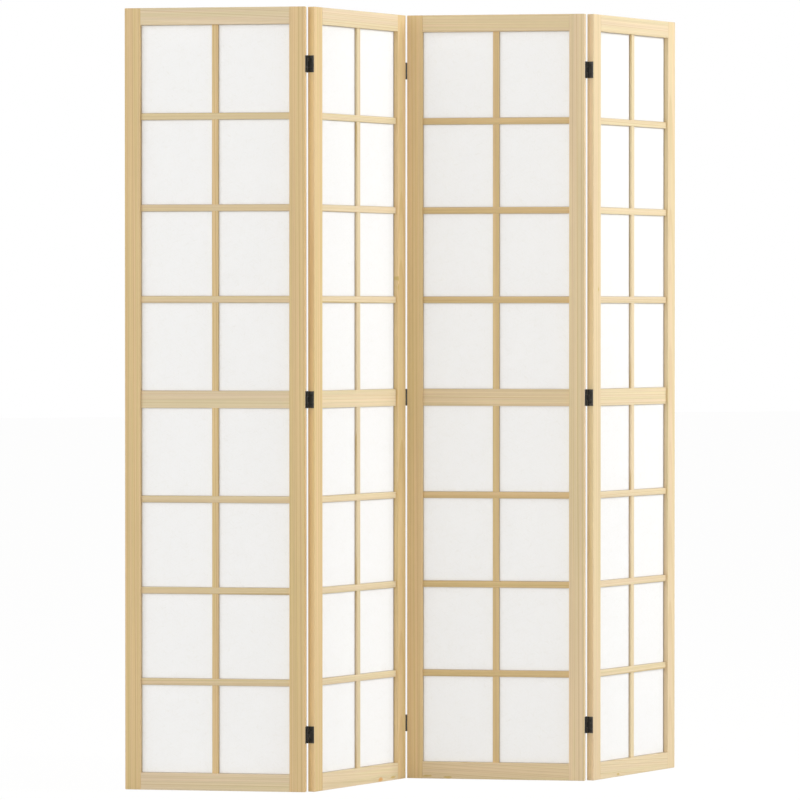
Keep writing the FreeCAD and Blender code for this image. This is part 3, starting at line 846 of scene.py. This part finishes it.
def make_floor():
    mesh = bpy.data.meshes.new("studio_floor")
    corners = [(x * FLOOR_REACH, y * FLOOR_REACH, 0) for x, y in ((-1, -1), (1, -1), (1, 1), (-1, 1))]
    mesh.from_pydata(corners, [], [(0, 1, 2, 3)])
    floor = bpy.data.objects.new("studio_floor", mesh)
    bpy.context.scene.collection.objects.link(floor)
    material, tree = bare_material("pale_floor")
    matt = add(tree, "ShaderNodeBsdfDiffuse", {"Color": FLOOR_COLOUR})
    white = add(tree, "ShaderNodeEmission", {"Color": WHITE, "Strength": FLOOR_WHITE})
    share = reckon(tree, "MULTIPLY", seen_directly(tree), FLOOR_WHITE_SHARE)
    mixed = add(tree, "ShaderNodeMixShader", {0: share, 1: matt.outputs[0], 2: white.outputs[0]})
    finished(tree, mixed.outputs[0])
    mesh.materials.append(material)


def make_surroundings():
    """White where seen directly, and soft light that is weaker from above and stronger from behind."""
    world = bpy.data.worlds.new("studio")
    bpy.context.scene.world = world
    world.use_nodes = True
    tree = world.node_tree
    tree.nodes.clear()
    towards = tree.nodes.new("ShaderNodeTexCoord").outputs["Generated"]
    _, behind, height = add(tree, "ShaderNodeSeparateXYZ", {0: towards}).outputs
    strength = reckon(tree, "ADD", ranged(tree, height, 0.15, 0.75, 0.71, 0.25),
                      ranged(tree, behind, 0.3, 0.9, 0.0, 0.7))
    soft = add(tree, "ShaderNodeBackground", {"Color": SOFT_LIGHT_COLOUR, "Strength": strength})
    white = add(tree, "ShaderNodeBackground", {"Color": WHITE, "Strength": 1.0})
    inputs = {0: seen_directly(tree), 1: soft.outputs[0], 2: white.outputs[0]}
    mixed = add(tree, "ShaderNodeMixShader", inputs)
    add(tree, "ShaderNodeOutputWorld", {"Surface": mixed.outputs[0]})


def make_lamp(name, power, aside, height, distance, breadth):
    """A round soft lamp that points at the screen's middle. aside is how far right of the front it
    stands and height how far up, in degrees, and breadth is how wide it looks from there."""
    data = bpy.data.lights.new(name, "AREA")
    data.energy = power
    data.shape = "DISK"
    data.size = 2 * distance * math.tan(math.radians(breadth / 2))
    lamp = bpy.data.objects.new(name, data)
    bpy.context.scene.collection.objects.link(lamp)
    aside = math.radians(aside)
    height = math.radians(height)
    level = math.cos(height)
    towards = Vector((math.sin(aside) * level, -math.cos(aside) * level, math.sin(height)))
    lamp.location = Vector((0, 0, PANEL_HEIGHT / 2)) + towards * distance
    lamp.rotation_euler = (-towards).to_track_quat("-Z", "Y").to_euler()


def make_camera():
    data = bpy.data.cameras.new("portrait_camera")
    data.lens = CAMERA_LENS
    data.sensor_width = CAMERA_SENSOR
    data.clip_end = 200
    camera = bpy.data.objects.new("portrait_camera", data)
    bpy.context.scene.collection.objects.link(camera)
    camera.location = CAMERA_PLACE
    camera.rotation_euler = Euler((math.radians(90 - CAMERA_DIP), 0, math.radians(-CAMERA_ASIDE)))
    bpy.context.scene.camera = camera


make_floor()
make_surroundings()
make_lamp("key_light", power=232, aside=57, height=21, distance=6.3, breadth=16)
make_lamp("fill_light", power=560, aside=-62, height=14, distance=10, breadth=60)
make_camera()
bpy.context.scene.view_settings.view_transform = "Standard"
